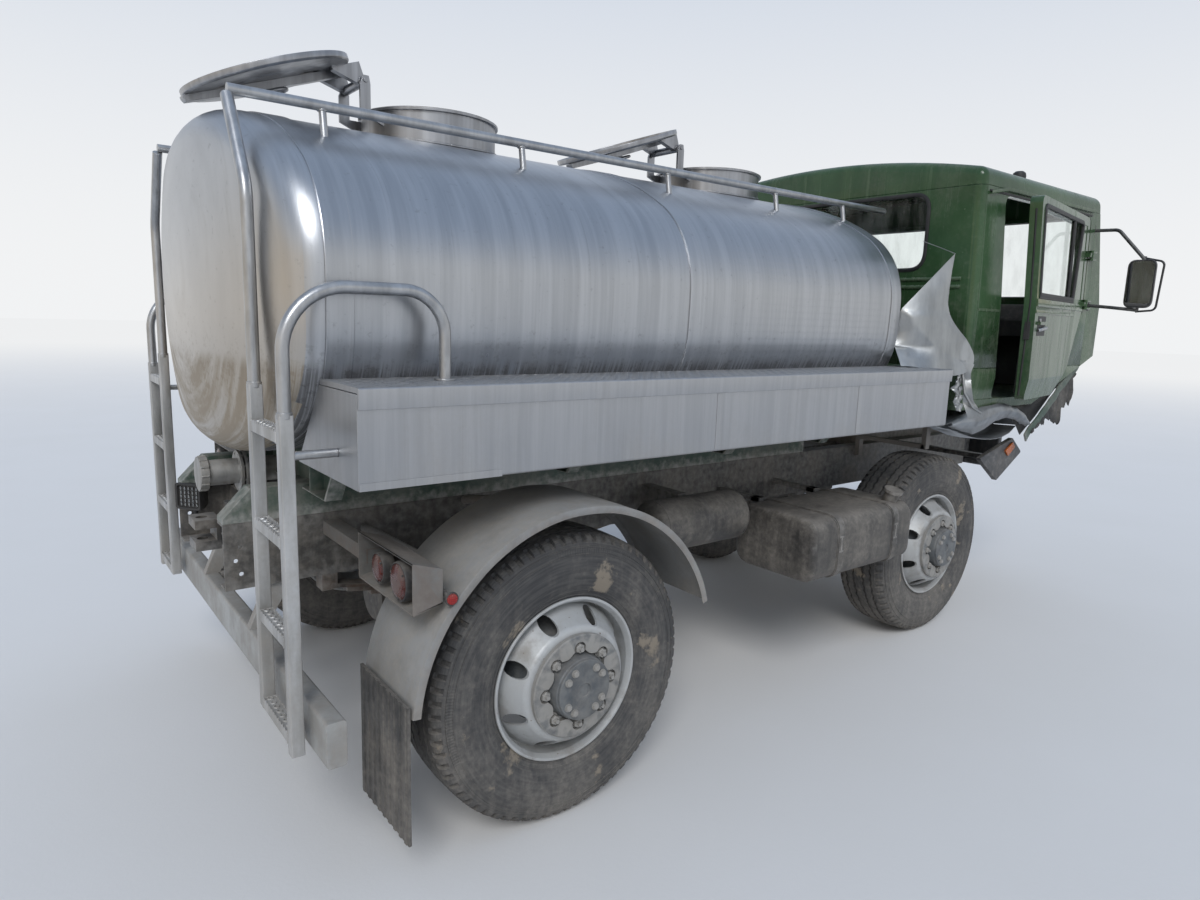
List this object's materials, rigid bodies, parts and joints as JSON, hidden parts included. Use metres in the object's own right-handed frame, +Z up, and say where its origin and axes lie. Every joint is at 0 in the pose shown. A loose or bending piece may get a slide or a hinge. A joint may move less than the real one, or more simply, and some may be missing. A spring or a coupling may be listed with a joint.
{
  "type": "tanker truck",
  "caption": "Short four-wheel-drive tanker truck with a stainless oval tank, side boxes, rear ladders, open manhole lids and a damaged cab with its right door ajar.",
  "frame": {"origin": "on the ground under the middle of the whole truck", "axes": "+X forward, +Y to the truck's left, +Z up"},
  "size_m": [5.3548, 3.0506, 2.756],
  "materials": {
    "frame_paint": "dusty dark chassis paint, semi-matt",
    "cradle_green": "faded green paint with dust",
    "tank_steel": "brushed stainless with vertical streaks and fish-scale polish",
    "rail_steel": "dull light grey metal",
    "box_steel": "dull brushed stainless, chequered on top",
    "bracket_grey": "dirty grey",
    "axle_iron": "oily cast iron with road dirt",
    "mudguard_grey": "dusty grey",
    "flap_rubber": "ribbed rubber",
    "spring_steel": "rusty leaves",
    "fuel_paint": "dark paint under dried mud",
    "valve_steel": "stainless",
    "cab_green": "dark green semi-gloss with algae",
    "window_glass": "clear dusty glass",
    "inside_plastic": "black grained plastic",
    "seat_cloth": "worn dark cloth",
    "bumper_black": "blue-black",
    "lamp_glass": "clear lamp glass",
    "torn_sheet_steel": "thin crumpled sheet",
    "mirror_black": "black",
    "lid_steel": "dull stainless",
    "tyre_rubber": "dusty tyre rubber",
    "rim_silver": "pale silver paint",
    "hub_grey": "dark blue-grey"
  },
  "bodies": {
    "chassis": {"frame_rails": "frame_paint", "tank_cradle": "cradle_green", "tank_body": "tank_steel", "manhole_necks": "tank_steel", "top_rails": "rail_steel", "side_boxes": "box_steel", "ladders": "rail_steel", "underrun_bar": "rail_steel", "rear_lamps": "bracket_grey", "tow_coupling": "axle_iron", "rear_mudguards": "mudguard_grey", "mudflaps": "flap_rubber", "rear_axle": "axle_iron", "front_axle": "axle_iron", "leaf_springs": "spring_steel", "driveline": "axle_iron", "engine_block": "axle_iron", "fuel_tank": "fuel_paint", "air_tanks": "frame_paint", "battery_box": "frame_paint", "outlet_valve": "valve_steel", "cab_roof": "cab_green", "cab_floor": "cab_green", "cab_back_wall": "cab_green", "cab_front": "cab_green", "cab_sides": "cab_green", "cab_glass": "window_glass", "dashboard": "inside_plastic", "steering_wheel": "inside_plastic", "seats": "seat_cloth", "bumper": "bumper_black", "headlamps": "lamp_glass", "front_mudguards": "mudguard_grey", "bumper_end": "bumper_black", "torn_sheet": "torn_sheet_steel", "mirrors": "mirror_black"},
    "wheel_rear_right": {"tyre_rear_right": "tyre_rubber", "rim_rear_right": "rim_silver", "hub_rear_right": "hub_grey"},
    "wheel_rear_left": {"tyre_rear_left": "tyre_rubber", "rim_rear_left": "rim_silver", "hub_rear_left": "hub_grey"},
    "wheel_front_right": {"tyre_front_right": "tyre_rubber", "rim_front_right": "rim_silver", "hub_front_right": "hub_grey"},
    "wheel_front_left": {"tyre_front_left": "tyre_rubber", "rim_front_left": "rim_silver", "hub_front_left": "hub_grey"},
    "steering_knuckle_right": {"knuckle_right": "axle_iron"},
    "steering_knuckle_left": {"knuckle_left": "axle_iron"},
    "right_door": {"door_right": "cab_green", "door_right_glass": "window_glass"},
    "left_door": {"door_left": "cab_green", "door_left_glass": "window_glass"},
    "rear_lid": {"lid_rear": "lid_steel"},
    "front_lid": {"lid_front": "lid_steel"}
  },
  "joints": [
    {"name": "rear_right_roll", "type": "hinge", "parent": "chassis", "child": "wheel_rear_right", "pos_m": [-1.705, -1.035, 0.528], "axis": [0, 1, 0], "continuous": true},
    {"name": "rear_left_roll", "type": "hinge", "parent": "chassis", "child": "wheel_rear_left", "pos_m": [-1.705, 1.035, 0.528], "axis": [0, 1, 0], "continuous": true},
    {"name": "steer_right", "type": "hinge", "parent": "chassis", "child": "steering_knuckle_right", "pos_m": [1.075, -0.69, 0.528], "axis": [0, 0, 1], "range_deg": [-28, 28]},
    {"name": "steer_left", "type": "hinge", "parent": "chassis", "child": "steering_knuckle_left", "pos_m": [1.075, 0.69, 0.528], "axis": [0, 0, 1], "range_deg": [-28, 28]},
    {"name": "front_right_roll", "type": "hinge", "parent": "steering_knuckle_right", "child": "wheel_front_right", "pos_m": [1.075, -0.815, 0.528], "axis": [0, 1, 0], "continuous": true},
    {"name": "front_left_roll", "type": "hinge", "parent": "steering_knuckle_left", "child": "wheel_front_left", "pos_m": [1.075, 0.815, 0.528], "axis": [0, 1, 0], "continuous": true},
    {"name": "right_door_swing", "type": "hinge", "parent": "chassis", "child": "right_door", "pos_m": [2.338, -1.134, 1.95], "axis": [0, 0, 1], "range_deg": [-9.5, 60]},
    {"name": "left_door_swing", "type": "hinge", "parent": "chassis", "child": "left_door", "pos_m": [2.338, 1.134, 1.95], "axis": [0, 0, -1], "range_deg": [0, 70]},
    {"name": "rear_lid_swing", "type": "hinge", "parent": "chassis", "child": "rear_lid", "pos_m": [-1.99, 0, 2.67], "axis": [0, 1, 0], "range_deg": [0, 200]},
    {"name": "front_lid_swing", "type": "hinge", "parent": "chassis", "child": "front_lid", "pos_m": [-0.3, 0, 2.67], "axis": [0, 1, 0], "range_deg": [0, 200]}
  ],
  "couplings": [
    {"joint": "steer_left", "follows": "steer_right", "ratio": 1}
  ]
}
